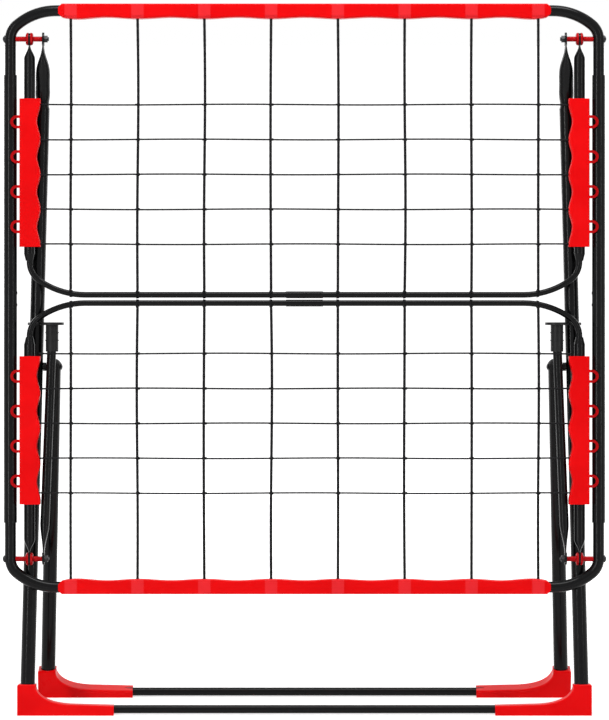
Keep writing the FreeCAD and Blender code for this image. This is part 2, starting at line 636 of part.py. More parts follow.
def build_stays():
    """Stays that tie the ring's lower bolts to the front leg, with moulded caps at their tops."""
    length = STAY_TOP_Z - PIVOT_LOW
    stay = pressed_tube(stay_axis, PIVOT_LOW, 1, STAY_R, STAY_WALL, (STAY_EYE_R, STAY_EYE_LENGTH, STAY_TAPER),
                        length)
    keep_pair("stay", stay)

    cap_low = STAY_TOP_Z - CAP_LENGTH + CAP_FLANGE
    x, y = stay_axis(length - CAP_LENGTH / 2)
    cap = Part.makeCylinder(CAP_R, CAP_LENGTH, Vector(x, y, cap_low))
    for i in (1, 2):
        cap = cap.fuse(Part.makeCylinder(CAP_R + CAP_RIB, CAP_RIB_W, Vector(x, y, STAY_TOP_Z - i * 12)))
    leg_z = STAY_TOP_Z + CAP_FLANGE / 2
    leg_x = front_leg_x(PIVOT_HIGH - leg_z)
    flange = Part.makeCylinder(CAP_FLANGE_R, CAP_FLANGE, Vector(x, y, STAY_TOP_Z + 0.4))
    collar = Part.makeCylinder(LEG_R + COLLAR_WALL, CAP_FLANGE, Vector(leg_x, LEG_Y, STAY_TOP_Z + 0.4))
    web = Part.makeBox(leg_x - x, LEG_Y - 9, CAP_FLANGE, Vector(x, 9, STAY_TOP_Z + 0.4))
    leg_bottom = Vector(LEG_FOOT_X, LEG_Y, 0)
    leg_top = Vector(LEG_TOP_X, LEG_Y, PIVOT_HIGH)
    cap = cap.fuse([flange, collar, web]).cut(rod_along(leg_bottom, leg_top, LEG_R + FIT))
    low_x, low_y = stay_axis(length - CAP_LENGTH)
    high_x, high_y = stay_axis(length)
    stay_core = Part.makeLoft(
        [ring_section(Vector(low_x, low_y, PIVOT_LOW + length - CAP_LENGTH), STAY_R + FIT, STAY_R + FIT),
         ring_section(Vector(high_x, high_y, STAY_TOP_Z + FIT), STAY_R + FIT, STAY_R + FIT)], True, True)
    keep_pair("stay_cap", cap.cut(stay_core).removeSplitter())


def build_pivots():
    bolts, nuts = [], []
    for pivot_z in (PIVOT_HIGH, PIVOT_LOW):
        bolts.append(pivot_bolt(pivot_z, LEG_TOP_X))
        nuts.append(pivot_nut(pivot_z, LEG_TOP_X))
    keep("pivot_bolts", both_sides(bolts))
    keep("pivot_nuts", both_sides(nuts))
    keep("upper_pivot_spacers", pivot_spacers(PIVOT_HIGH, LEG_TOP_X))
    keep("lower_pivot_spacers", pivot_spacers(PIVOT_LOW, LEG_TOP_X))
    keep("top_cord_tails", cord_tails(PIVOT_HIGH, -1))
    keep("bottom_cord_tails", cord_tails(PIVOT_LOW, 1))

    inside = REAR_TOP_X - LEG_R - RUN_GAP
    outside = LEG_HINGE_X + LEG_R + FIT
    pin = across(inside - 0.2, outside + 0.2, BOLT_R, LEG_Y, HINGE_Z)
    outer_head = domed_head(outside, LEG_Y, HINGE_Z, HINGE_HEAD_R, HINGE_HEAD)
    inner_head = left_of(domed_head(-inside, LEG_Y, HINGE_Z, HINGE_HEAD_R, HINGE_HEAD))
    keep("rear_hinge_pins", both_sides([pin.fuse([outer_head, inner_head]).removeSplitter()]))
    washer = across(REAR_TOP_X + LEG_R + RUN_GAP, LEG_HINGE_X - LEG_R - RUN_GAP, HINGE_HEAD_R + 1, LEG_Y, HINGE_Z)
    washer = washer.cut(across(0, FAR, BOLT_HOLE_R, LEG_Y, HINGE_Z))
    keep("rear_hinge_washers", both_sides([washer]))


def rear_foot():
    """The rear leg's angle to the upright and its length, from the lean and the stance."""
    lean = math.radians(LEAN)
    back = STANCE - HINGE_Z * math.sin(lean)
    down = HINGE_Z * math.cos(lean)
    return math.degrees(math.atan2(back, down)), math.hypot(back, down)


def build_rear_leg():
    """The rear leg, drawn hanging straight down beside the front leg's plane."""
    angle, length = rear_foot()
    foot_z = HINGE_Z - length
    foot = Vector(REAR_FOOT_X, 0, foot_z)
    head = Vector(REAR_TOP_X, 0, HINGE_Z)
    line = head.sub(foot)
    line.normalize()
    start = foot + line * (BOOT_SOCKET_FLOOR / line.z)
    end = head + line * REAR_STUB
    tube = rod_along(start, end, LEG_R).cut(rod_along(start - line, end + line, LEG_R - LEG_WALL))
    tube = tube.cut(across(REAR_TOP_X - 2 * LEG_R, REAR_TOP_X + 2 * LEG_R, BOLT_HOLE_R, 0, HINGE_Z))
    plug = Part.makeSphere(REAR_PLUG_R, head).common(rod_along(end + line * FIT, end + line * 2 * LEG_R, LEG_R))
    plug = plug.fuse(rod_along(end - line * 2, end + line * (FIT + 1), LEG_R - LEG_WALL - FIT)).removeSplitter()
    shoe = boot(REAR_FOOT_X, Vector(REAR_TOP_X, 0, length))
    bar = crossbar(REAR_FOOT_X)
    for piece in (shoe, bar):
        piece.translate(Vector(0, 0, foot_z))
    pieces = {"rear_leg_tube": tube, "rear_leg_plug": plug, "rear_boot": shoe}
    for piece in list(pieces.values()) + [bar]:
        piece.translate(Vector(0, LEG_Y, 0))
        piece.rotate(Vector(0, LEG_Y, HINGE_Z), Vector(1, 0, 0), angle + LEAN)
    for name, piece in pieces.items():
        keep_pair(name, piece)
    keep("rear_crossbar", bar)


def stand_up():
    """Leans the whole rebounder back about its front foot, trims the soles flat and centres it."""
    foot = Vector(0, LEG_Y, 0)
    ground = Part.makeBox(2 * FAR, 2 * FAR, FAR, Vector(-FAR, -FAR, -FAR))
    for name in nodes:
        nodes[name].rotate(foot, Vector(1, 0, 0), -LEAN)
        if name.endswith("_boot"):
            nodes[name] = nodes[name].cut(ground)
    whole = group(list(nodes.values())).BoundBox
    shift = Vector(-(whole.XMin + whole.XMax) / 2, -(whole.YMin + whole.YMax) / 2, -whole.ZMin)
    for shape in nodes.values():
        shape.translate(shift)
    return shift


def world_point(y, z, shift):
    """Where a point of the upright drawing ends up on the standing part, in metres."""
    point = FreeCAD.Placement(Vector(0, 0, 0), FreeCAD.Rotation(Vector(1, 0, 0), -LEAN), Vector(0, LEG_Y, 0))
    moved = point.multVec(Vector(0, y, z)) + shift
    return [0, round(moved.y / 1000, 6), round(moved.z / 1000, 6)]


build_ring()
build_panel("upper", PIVOT_HIGH, -1, 0.0)
build_panel("lower", PIVOT_LOW, 1, LOWER_COVER_SHIFT)
build_front_leg()
build_stays()
build_pivots()
build_rear_leg()
shift = stand_up()

os.makedirs("parts", exist_ok=True)
for name, shape in nodes.items():
    shape.exportStep("parts/" + name + ".step")

whole = group(list(nodes.values())).BoundBox
print("nodes", len(nodes), "size", [round(v, 1) for v in (whole.XLength, whole.YLength, whole.ZLength)])
print("not valid", [name for name, shape in nodes.items() if not shape.isValid()])
print("volumes", {name: round(shape.Volume) for name, shape in nodes.items()})
print("upper pivot", world_point(0, PIVOT_HIGH, shift))
print("lower pivot", world_point(0, PIVOT_LOW, shift))
print("rear hinge", world_point(LEG_Y, HINGE_Z, shift), "rear leg angle and length", rear_foot())
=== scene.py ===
import json
import math
import random

import bpy
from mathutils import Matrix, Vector


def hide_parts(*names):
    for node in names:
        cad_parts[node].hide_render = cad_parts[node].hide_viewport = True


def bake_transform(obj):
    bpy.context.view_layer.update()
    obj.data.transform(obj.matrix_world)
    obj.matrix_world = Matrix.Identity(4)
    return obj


# Folding ball rebounder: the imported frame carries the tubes, covers, boots and bolts.
# This script dresses them, strings the two nets and sets up the studio. Lengths are in metres.

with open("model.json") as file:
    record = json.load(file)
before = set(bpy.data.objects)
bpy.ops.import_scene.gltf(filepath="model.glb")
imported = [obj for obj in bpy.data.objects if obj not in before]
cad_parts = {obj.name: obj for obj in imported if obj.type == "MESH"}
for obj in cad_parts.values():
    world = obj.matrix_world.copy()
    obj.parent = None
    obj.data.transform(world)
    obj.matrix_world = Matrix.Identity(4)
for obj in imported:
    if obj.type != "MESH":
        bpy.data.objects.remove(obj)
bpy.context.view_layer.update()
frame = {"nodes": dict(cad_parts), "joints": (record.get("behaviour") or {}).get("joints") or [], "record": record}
print("frame loaded with", len(frame["nodes"]), "nodes")

joints = {joint["name"]: joint for joint in frame["joints"]}
highPivot = Vector(joints["upper_panel_tilt"]["pos_m"])
lowPivot = Vector(joints["lower_panel_tilt"]["pos_m"])
ringUp = (highPivot - lowPivot).normalized()  # along the leaning ring
ringBack = Vector((0, ringUp.z, -ringUp.y))   # away from the player, square to the ring


def onRing(pivot, sense, x, back, along):
    # a place measured from a pivot line, along the ring towards its middle
    return pivot + Vector((x, 0, 0)) + ringBack * back + ringUp * (sense * along)


netting = {
    "columns": 8, "pitch": 0.1014,                      # the upright cords
    "rows": 5, "rowPitch": 0.053, "firstRow": 0.1,      # the level cords, from the pivot line
    "front": -0.0066,                                   # the cords hang before the pivot line
    "railReach": 0.0341, "rowReach": 0.4036,            # to the rail cover, and to a side cover
    "rodDrop": 0.3887, "rodRadius": 0.0045,             # the panel's rod at its middle
    "rodBendsAt": 0.3335, "rodBend": 0.122,             # where the rod's corner starts, and its radius
    "cordRadius": 0.0021, "rowRadius": 0.0013,
    "slack": 0.0009, "rowSag": 0.6, "rowWave": 17,      # how far from straight the cords hang
    "weaveReach": 0.009, "weaveDepth": 1.15,            # a row's step past an upright cord
    "stopsShort": 0.005, "columnSteps": 40, "rowSteps": 180,
}
netHalf = netting["pitch"] * (netting["columns"] - 1) / 2


# shader helpers
def addNode(tree, kind, inputs=None, **settings):
    node = tree.nodes.new(kind)
    for name, value in settings.items():
        setattr(node, name, value)
    for name, value in (inputs or {}).items():
        if isinstance(value, bpy.types.NodeSocket):
            tree.links.new(value, node.inputs[name])
        else:
            node.inputs[name].default_value = value
    return node


def newGroup(name, treeType, inputs, outputs):
    # inputs are (name, socket type, default) rows, and outputs (name, socket type) rows
    group = bpy.data.node_groups.new(name, treeType)
    for socketName, socketType, default in inputs:
        socket = group.interface.new_socket(socketName, in_out="INPUT", socket_type=socketType)
        if default is not None:
            socket.default_value = default
    for socketName, socketType in outputs:
        group.interface.new_socket(socketName, in_out="OUTPUT", socket_type=socketType)
    return group, group.nodes.new("NodeGroupInput"), group.nodes.new("NodeGroupOutput")


def calc(tree, operation, a, b=0.0, clamp=False):
    return addNode(tree, "ShaderNodeMath", {0: a, 1: b}, operation=operation, use_clamp=clamp).outputs[0]


def remap(tree, value, fromLow, fromHigh, toLow, toHigh):
    # a dictionary's levels are these four numbers, in this order
    sockets = {0: value, 1: fromLow, 2: fromHigh, 3: toLow, 4: toHigh}
    return addNode(tree, "ShaderNodeMapRange", sockets).outputs[0]


def noise(tree, place, **values):
    return addNode(tree, "ShaderNodeTexNoise", {"Vector": place, **values}).outputs[0]


def stretched(tree, place, scale):
    return addNode(tree, "ShaderNodeMapping", {"Vector": place, "Scale": scale}).outputs[0]


def objectPlace(tree):
    return addNode(tree, "ShaderNodeTexCoord").outputs["Object"]


def mixColour(tree, share, first, second):
    # a Mix node keeps its colours in sockets 6 and 7 and its result in output 2
    return addNode(tree, "ShaderNodeMix", {0: share, 6: first, 7: second}, data_type="RGBA").outputs[2]


def newMaterial(name, fixed=None):
    # a principled material, with the values that are the same all over set on its own sockets
    material = bpy.data.materials.new(name)
    material.use_nodes = True
    tree = material.node_tree
    shader = tree.nodes["Principled BSDF"]
    for socketName, value in (fixed or {}).items():
        shader.inputs[socketName].default_value = value
    return material, tree, shader


def feed(tree, shader, sources):
    for socketName, source in sources.items():
        tree.links.new(source, shader.inputs[socketName])


def bumpFrom(tree, shader, height, strength, distance=0.0003):
    bump = addNode(tree, "ShaderNodeBump", {"Height": height, "Strength": strength, "Distance": distance})
    tree.links.new(bump.outputs[0], shader.inputs["Normal"])


# smudges, dust and fine scuffs that every hard surface here shares
handled = {
    "usual": {"Roughness": 0.3, "Smudge": 0.08, "Scuffs": 0.2, "Peel": 0.5, "Peel Size": 700.0},
    "broad": {"Scale": 22.0, "Detail": 4.0, "Roughness": 0.6},
    "fine": {"Scale": 260.0, "Detail": 3.0, "Roughness": 0.65},
    "streakStretch": (900.0, 900.0, 60.0),
    "streak": {"Scale": 1.0, "Detail": 2.0}, "peelDetail": 1.0,
    "patchLevels": (0.52, 0.68, 0.0, 1.0), "streakLevels": (0.6, 0.72, 0.0, 1.0),
    "smudgeGain": 4.0, "scuffRoughness": 0.3, "scuffDepth": 0.3,
}


def makeHandledFinish():
    group, enter, leave = newGroup(
        "handledFinish", "ShaderNodeTree",
        [(name, "NodeSocketFloat", value) for name, value in handled["usual"].items()],
        [("Roughness", "NodeSocketFloat"), ("Scuff Mask", "NodeSocketFloat"), ("Height", "NodeSocketFloat")])
    asked = enter.outputs
    place = objectPlace(group)
    broad = noise(group, place, **handled["broad"])
    fine = noise(group, place, **handled["fine"])
    peel = noise(group, place, Scale=asked["Peel Size"], Detail=handled["peelDetail"])
    streak = noise(group, stretched(group, place, handled["streakStretch"]), **handled["streak"])
    patch = remap(group, broad, *handled["patchLevels"])
    streak = remap(group, streak, *handled["streakLevels"])
    scuff = calc(group, "MULTIPLY", streak, patch, clamp=True)
    scuff = calc(group, "MULTIPLY", scuff, asked["Scuffs"], clamp=True)
    smudge = calc(group, "MULTIPLY", calc(group, "SUBTRACT", broad, 0.5), asked["Smudge"])
    grit = calc(group, "MULTIPLY", calc(group, "SUBTRACT", fine, 0.5), asked["Smudge"])
    dulled = calc(group, "ADD", grit, calc(group, "MULTIPLY", scuff, handled["scuffRoughness"]))
    rough = calc(group, "ADD", asked["Roughness"], calc(group, "MULTIPLY", smudge, handled["smudgeGain"]))
    rough = calc(group, "ADD", rough, dulled, clamp=True)
    height = calc(group, "MULTIPLY", peel, asked["Peel"])
    height = calc(group, "SUBTRACT", height, calc(group, "MULTIPLY", scuff, handled["scuffDepth"]))
    feed(group, leave, {"Roughness": rough, "Scuff Mask": scuff, "Height": height})
    return group


handledFinish = makeHandledFinish()


def wear(tree, values):
    return addNode(tree, "ShaderNodeGroup", values, node_tree=handledFinish).outputs


# finishes
tubePaint = {
    "black": (0.0028, 0.0028, 0.0031, 1), "dust": (0.0075, 0.0075, 0.008, 1),
    "rubbed": (0.03, 0.03, 0.032, 1),
    "fixed": {"Coat Roughness": 0.08, "Specular IOR Level": 0.1},
    "wear": {"Roughness": 0.21, "Smudge": 0.07, "Scuffs": 0.3, "Peel": 0.5, "Peel Size": 520.0},
    "cloud": {"Scale": 9.0, "Detail": 5.0},
    "dustLevels": (0.4, 0.8, 0.0, 0.45), "coatLevels": (0.3, 0.7, 0.06, 0.03), "bump": 0.12,
}


def paintedTube():
    material, tree, shader = newMaterial("blackTubePaint", tubePaint["fixed"])
    worn = wear(tree, tubePaint["wear"])
    cloud = noise(tree, objectPlace(tree), **tubePaint["cloud"])
    dusty = remap(tree, cloud, *tubePaint["dustLevels"])
    colour = mixColour(tree, dusty, tubePaint["black"], tubePaint["dust"])
    colour = mixColour(tree, worn["Scuff Mask"], colour, tubePaint["rubbed"])
    coat = remap(tree, cloud, *tubePaint["coatLevels"])
    feed(tree, shader, {"Base Color": colour, "Roughness": worn["Roughness"], "Coat Weight": coat})
    bumpFrom(tree, shader, worn["Height"], tubePaint["bump"])
    return material


redMoulding = {
    "red": (0.93, 0.0008, 0.0025, 1), "redDeep": (0.72, 0.0004, 0.0015, 1),
    # painted shade: the pivot hubs and spacers get a darker red for the shade they sit in between the tubes
    "pivot": (0.5, 0.0012, 0.004, 1), "pivotDeep": (0.34, 0.0008, 0.003, 1),
    "scuffed": (0.85, 0.04, 0.045, 1),
    "fixed": {"Coat Roughness": 0.16, "Specular IOR Level": 0.08, "Subsurface Weight": 0.05,
              "Subsurface Radius": (0.004, 0.0006, 0.0005), "Subsurface Scale": 0.02},
    "wear": {"Roughness": 0.33, "Smudge": 0.08, "Scuffs": 0.25, "Peel": 0.35, "Peel Size": 900.0},
    "flow": (6.0, 30.0, 14.0), "cloud": {"Scale": 1.0, "Detail": 4.0, "Distortion": 0.6},
    "deepLevels": (0.35, 0.75, 0.0, 0.6), "coatLevels": (0.3, 0.7, 0.08, 0.03), "bump": 0.1,
}
# painted highlight: the paler tone put on the rail cover's pads for the light they catch
railPadHighlight = {"tone": (0.95, 0.06, 0.075, 1), "width": 0.0195, "edge": 0.0008, "share": 0.4}
# painted shade: the deeper red that the side covers' lugs get for lying back in shadow
lugPaintedShade = {"tone": (0.36, 0.001, 0.003, 1), "from": 0.4326, "edge": 0.002, "share": 0.8}


def paintedPadHighlights(tree, x, colour):
    # painted highlight: a paler square halfway between two upright cords, where the rail cover's pads catch the
    # light
    shifted = calc(tree, "ADD", x, netting["pitch"] * netting["columns"])
    inPitch = calc(tree, "MODULO", shifted, netting["pitch"])
    off = calc(tree, "ABSOLUTE", calc(tree, "SUBTRACT", inPitch, netting["pitch"] / 2))
    half = railPadHighlight["width"] / 2
    mask = remap(tree, off, half, half - railPadHighlight["edge"], 0.0, railPadHighlight["share"])
    return mixColour(tree, mask, colour, railPadHighlight["tone"])


def paintedLugShade(tree, x, colour):
    # painted shade: a side cover's lugs stand behind its face, and are painted a deeper red for the shadow they
    # sit in
    outward = calc(tree, "ABSOLUTE", x)
    first = lugPaintedShade["from"]
    shade = remap(tree, outward, first, first + lugPaintedShade["edge"], 0.0, lugPaintedShade["share"])
    return mixColour(tree, shade, colour, lugPaintedShade["tone"])


def mouldedRed(name, tone="red", pattern=None):
    material, tree, shader = newMaterial(name, redMoulding["fixed"])
    worn = wear(tree, redMoulding["wear"])
    place = objectPlace(tree)
    cloud = noise(tree, stretched(tree, place, redMoulding["flow"]), **redMoulding["cloud"])
    deep = remap(tree, cloud, *redMoulding["deepLevels"])
    colour = mixColour(tree, deep, redMoulding[tone], redMoulding[tone + "Deep"])
    if pattern:
        x = addNode(tree, "ShaderNodeSeparateXYZ", {"Vector": place}).outputs[0]
        colour = pattern(tree, x, colour)
    colour = mixColour(tree, worn["Scuff Mask"], colour, redMoulding["scuffed"])
    coat = remap(tree, cloud, *redMoulding["coatLevels"])
    feed(tree, shader, {"Base Color": colour, "Roughness": worn["Roughness"], "Coat Weight": coat})
    bumpFrom(tree, shader, worn["Height"], redMoulding["bump"])
    return material


blackMoulding = {
    "black": (0.006, 0.006, 0.0065, 1), "worn": (0.03, 0.03, 0.032, 1), "fixed": {"Specular IOR Level": 0.2},
    "wear": {"Roughness": 0.46, "Smudge": 0.1, "Scuffs": 0.4, "Peel": 0.8, "Peel Size": 1400.0}, "bump": 0.25,
}


def mouldedBlack():
    material, tree, shader = newMaterial("blackMoulding", blackMoulding["fixed"])
    worn = wear(tree, blackMoulding["wear"])
    colour = mixColour(tree, worn["Scuff Mask"], blackMoulding["black"], blackMoulding["worn"])
    feed(tree, shader, {"Base Color": colour, "Roughness": worn["Roughness"]})
    bumpFrom(tree, shader, worn["Height"], blackMoulding["bump"])
    return material


fastener = {
    "steel": (0.03, 0.03, 0.032, 1), "oxide": (0.012, 0.0116, 0.012, 1),
    "bloom": {"Scale": 140.0, "Detail": 3.0},
    "wear": {"Roughness": 0.36, "Smudge": 0.12, "Scuffs": 0.5, "Peel": 0.4, "Peel Size": 1800.0},
    "oxideLevels": (0.45, 0.65, 0.0, 1.0), "metalLevels": (0.4, 0.7, 0.95, 0.6),
    "bump": 0.15, "bumpDepth": 0.0002,
}


def darkFastener():
    material, tree, shader = newMaterial("darkFastener")
    worn = wear(tree, fastener["wear"])
    bloom = noise(tree, objectPlace(tree), **fastener["bloom"])
    oxidised = remap(tree, bloom, *fastener["oxideLevels"])
    colour = mixColour(tree, oxidised, fastener["steel"], fastener["oxide"])
    metal = remap(tree, bloom, *fastener["metalLevels"])
    feed(tree, shader, {"Base Color": colour, "Metallic": metal, "Roughness": worn["Roughness"]})
    bumpFrom(tree, shader, worn["Height"], fastener["bump"], fastener["bumpDepth"])
    return material


braid = {
    "black": (0.002, 0.002, 0.0024, 1), "crest": (0.01, 0.01, 0.0115, 1), "strands": 4.0, "lay": 0.0055,
    "fixed": {"Roughness": 0.72, "Specular IOR Level": 0.15}, "bump": 0.6,
}


def braidedCord():
    # crossing strands, worked out from the distance along the cord and the direction round it
    material, tree, shader = newMaterial("braidedCord", braid["fixed"])
    along = addNode(tree, "ShaderNodeAttribute", attribute_name="cordAlong").outputs["Fac"]
    around = addNode(tree, "ShaderNodeAttribute", attribute_name="cordRound").outputs["Vector"]
    sides = addNode(tree, "ShaderNodeSeparateXYZ", {"Vector": around}).outputs
    angle = calc(tree, "MULTIPLY", calc(tree, "ARCTAN2", sides[1], sides[0]), braid["strands"])
    travel = calc(tree, "MULTIPLY", along, 2 * math.pi / braid["lay"] * 2)
    right = calc(tree, "SINE", calc(tree, "ADD", angle, travel))
    left = calc(tree, "SINE", calc(tree, "SUBTRACT", angle, travel))
    weave = remap(tree, calc(tree, "MULTIPLY", right, left), -1.0, 1.0, 0.0, 1.0)
    feed(tree, shader, {"Base Color": mixColour(tree, weave, braid["black"], braid["crest"])})
    bumpFrom(tree, shader, weave, braid["bump"])
    return material


finishes = {
    "black_tube": paintedTube(),
    "red_plastic": mouldedRed("redMoulding"),
    "black_plastic": mouldedBlack(),
    "black_cord": braidedCord(),
    "dark_fastener": darkFastener(),
}
# painted shade: a darker copy of the red moulding for the pivot hubs and spacers
pivotShadedRed = mouldedRed("redPivotShadedMoulding", tone="pivot")
redsByEnding = {
    # the rail cover carries painted highlights on its pads
    "rail_cover": mouldedRed("redRailMoulding", pattern=paintedPadHighlights),
    # the side covers carry painted shade on their lugs
    "side_cover": mouldedRed("redCoverMoulding", pattern=paintedLugShade),
    "pivot_hubs": pivotShadedRed,
    "pivot_spacers": pivotShadedRed,
}
for row in frame["record"]["subparts"]:
    finish = finishes[row["material_slot"]]
    for ending, ownRed in redsByEnding.items():
        if row["node"].endswith(ending):
            finish = ownRed
    for materialSlot in frame["nodes"][row["node"]].material_slots:
        materialSlot.material = finish
print("finishes on the frame's nodes")

# nets
strand = {"step": 0.0045, "sides": 10, "layLength": 0.011, "layDepth": 0.04}


def makeCordTree():
    # turns lines with a radius on each point into round cords with a slight lay
    tree, enter, leave = newGroup(
        "strungCord", "GeometryNodeTree",
        [("Lines", "NodeSocketGeometry", None), ("Step", "NodeSocketFloat", strand["step"]),
         ("Sides", "NodeSocketInt", strand["sides"]), ("Lay Length", "NodeSocketFloat", strand["layLength"]),
         ("Lay Depth", "NodeSocketFloat", strand["layDepth"]), ("Material", "NodeSocketMaterial", None)],
        [("Cords", "NodeSocketGeometry")])
    asked = enter.outputs
    curve = addNode(tree, "GeometryNodeMeshToCurve", {"Mesh": asked["Lines"]}).outputs[0]
    even = addNode(tree, "GeometryNodeResampleCurve", {"Curve": curve, "Length": asked["Step"]},
                   mode="LENGTH")
    length = addNode(tree, "GeometryNodeSplineParameter").outputs["Length"]
    measured = addNode(tree, "GeometryNodeStoreNamedAttribute",
                       {"Geometry": even.outputs[0], "Name": "cordAlong", "Value": length}, data_type="FLOAT")
    radius = addNode(tree, "GeometryNodeInputNamedAttribute", {"Name": "cordRadius"},
                     data_type="FLOAT").outputs[0]
    turn = calc(tree, "MULTIPLY", calc(tree, "DIVIDE", length, asked["Lay Length"]), 2 * math.pi)
    swell = calc(tree, "MULTIPLY", calc(tree, "SINE", turn), asked["Lay Depth"])
    scale = calc(tree, "MULTIPLY", radius, calc(tree, "ADD", swell, 1.0))
    circle = addNode(tree, "GeometryNodeCurvePrimitiveCircle", {"Resolution": asked["Sides"], "Radius": 1.0})
    direction = addNode(tree, "GeometryNodeInputPosition").outputs[0]
    profile = addNode(tree, "GeometryNodeStoreNamedAttribute",
                      {"Geometry": circle.outputs[0], "Name": "cordRound", "Value": direction},
                      data_type="FLOAT_VECTOR")
    tube = addNode(tree, "GeometryNodeCurveToMesh",
                   {"Curve": measured.outputs[0], "Profile Curve": profile.outputs[0], "Scale": scale,
                    "Fill Caps": True})
    smooth = addNode(tree, "GeometryNodeSetShadeSmooth", {"Geometry": tube.outputs[0]})
    real = addNode(tree, "GeometryNodeRealizeInstances", {"Geometry": smooth.outputs[0]})
    dressed = addNode(tree, "GeometryNodeSetMaterial",
                      {"Geometry": real.outputs[0], "Material": asked["Material"]})
    tree.links.new(dressed.outputs[0], leave.inputs["Cords"])
    return tree


cordTree = makeCordTree()


def linesObject(name, lines):
    # each line is a list of points and a list of their radii
    vertices, edges, radii = [], [], []
    for points, widths in lines:
        first = len(vertices)
        vertices += points
        radii += widths
        edges += [(first + i, first + i + 1) for i in range(len(points) - 1)]
    mesh = bpy.data.meshes.new(name)
    mesh.from_pydata([tuple(point) for point in vertices], edges, [])
    attribute = mesh.attributes.new("cordRadius", "FLOAT", "POINT")
    for value, radius in zip(attribute.data, radii):
        value.value = radius
    source = bpy.data.objects.new(name, mesh)
    bpy.context.collection.objects.link(source)
    return source


def strung(name, lines):
    # the cords as one plain mesh, with the lines that carried them removed
    source = linesObject(name + "Lines", lines)
    modifier = source.modifiers.new("strungCord", "NODES")
    modifier.node_group = cordTree
    for item in cordTree.interface.items_tree:
        if item.in_out == "INPUT" and item.name == "Material":
            modifier[item.identifier] = finishes["black_cord"]
    evaluated = source.evaluated_get(bpy.context.evaluated_depsgraph_get())
    mesh = bpy.data.meshes.new_from_object(evaluated)
    piece = bpy.data.objects.new(name, mesh)
    bpy.context.collection.objects.link(piece)
    bpy.data.objects.remove(source)
    return piece


def rodPlace(x):
    # how far the rod lies from the pivot line, and its slope there
    past, bend = max(abs(x) - netting["rodBendsAt"], 0.0), netting["rodBend"]
    rise = math.sqrt(bend * bend - past * past)
    return netting["rodDrop"] - bend + rise, -math.copysign(past / rise, x)


whipping = {"radius": 0.00072, "turns": 3, "steps": 16, "startsAt": -0.7, "neck": 0.8}


def columnLine(pivot, sense, x, draw):
    # from the rail, down the net, then whipped round the rod
    cord, front, reach = netting["cordRadius"], netting["front"], netting["railReach"]
    drop, slope = rodPlace(x)
    lean = [draw.uniform(-1, 1) * netting["slack"] for _ in range(2)]
    points, radii = [], []
    for i in range(netting["columnSteps"] + 1):
        share = i / netting["columnSteps"]
        drift = lean[0] * math.sin(math.pi * share) + lean[1] * math.sin(2 * math.pi * share)
        along = -reach + (drop + reach - netting["stopsShort"]) * share
        points.append(onRing(pivot, sense, x + drift, front, along))
        radii.append(cord)
    wrap = netting["rodRadius"] + whipping["radius"]
    count = whipping["turns"] * whipping["steps"]
    width = whipping["turns"] * 2 * whipping["radius"]
    for i in range(count + 1):
        angle = math.tau * i / whipping["steps"] + whipping["startsAt"]
        shift = (i / count - 0.5) * width
        along = drop + slope * shift + math.sin(angle) * wrap
        points.append(onRing(pivot, sense, x + shift, -math.cos(angle) * wrap, along))
        radii.append(whipping["radius"] if i else cord * whipping["neck"])
    return points, radii


def rowLine(pivot, sense, row, draw):
    # a level cord that passes before one upright cord and behind the next
    along = netting["firstRow"] + row * netting["rowPitch"]
    reach, pitch = netting["rowReach"], netting["pitch"]
    phase = draw.uniform(0, math.tau)
    points = []
    for i in range(netting["rowSteps"] + 1):
        x = -reach + 2 * reach * i / netting["rowSteps"]
        sag = netting["slack"] * netting["rowSag"] * math.sin(phase + x * netting["rowWave"])
        weave = 0.0
        if abs(x) < netHalf + pitch / 2:
            inPitch = (x + netHalf) / pitch
            side = 1 if (round(inPitch) + row) % 2 else -1
            near = max(0.0, 1 - abs(inPitch - round(inPitch)) * pitch / netting["weaveReach"])
            weave = side * near * near * (3 - 2 * near) * netting["cordRadius"] * netting["weaveDepth"]
        points.append(onRing(pivot, sense, x, netting["front"] + weave, along + sag))
    return points, [netting["rowRadius"]] * len(points)


twine = {"turns": 2, "steps": 26, "sink": 0.75, "width": 0.0026, "thickness": 0.62}


def knotLine(pivot, sense, x, along):
    # two turns of thin twine that bind a crossing
    radius = netting["cordRadius"] + netting["rowRadius"] * twine["sink"]
    points = []
    for i in range(twine["steps"] + 1):
        angle = math.tau * twine["turns"] * i / twine["steps"]
        back = netting["front"] + radius * math.sin(angle)
        rise = (i / twine["steps"] - 0.5) * twine["width"]
        points.append(onRing(pivot, sense, x + radius * math.cos(angle), back, along + rise))
    return points, [netting["rowRadius"] * twine["thickness"]] * len(points)


def makeNet(name, pivot, sense, netNode, tailNode, seed):
    draw = random.Random(seed)
    columns = [-netHalf + i * netting["pitch"] for i in range(netting["columns"])]
    lines = [columnLine(pivot, sense, x, draw) for x in columns]
    lines += [rowLine(pivot, sense, row, draw) for row in range(netting["rows"])]
    for row in range(netting["rows"]):
        along = netting["firstRow"] + row * netting["rowPitch"]
        lines += [knotLine(pivot, sense, x, along) for x in columns]
    piece = strung(name, lines)
    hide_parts(netNode, tailNode)
    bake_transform(piece)


makeNet("upperNetCords", highPivot, -1, "upper_net", "top_cord_tails", 5)
makeNet("lowerNetCords", lowPivot, 1, "lower_net", "bottom_cord_tails", 9)
print("nets strung")

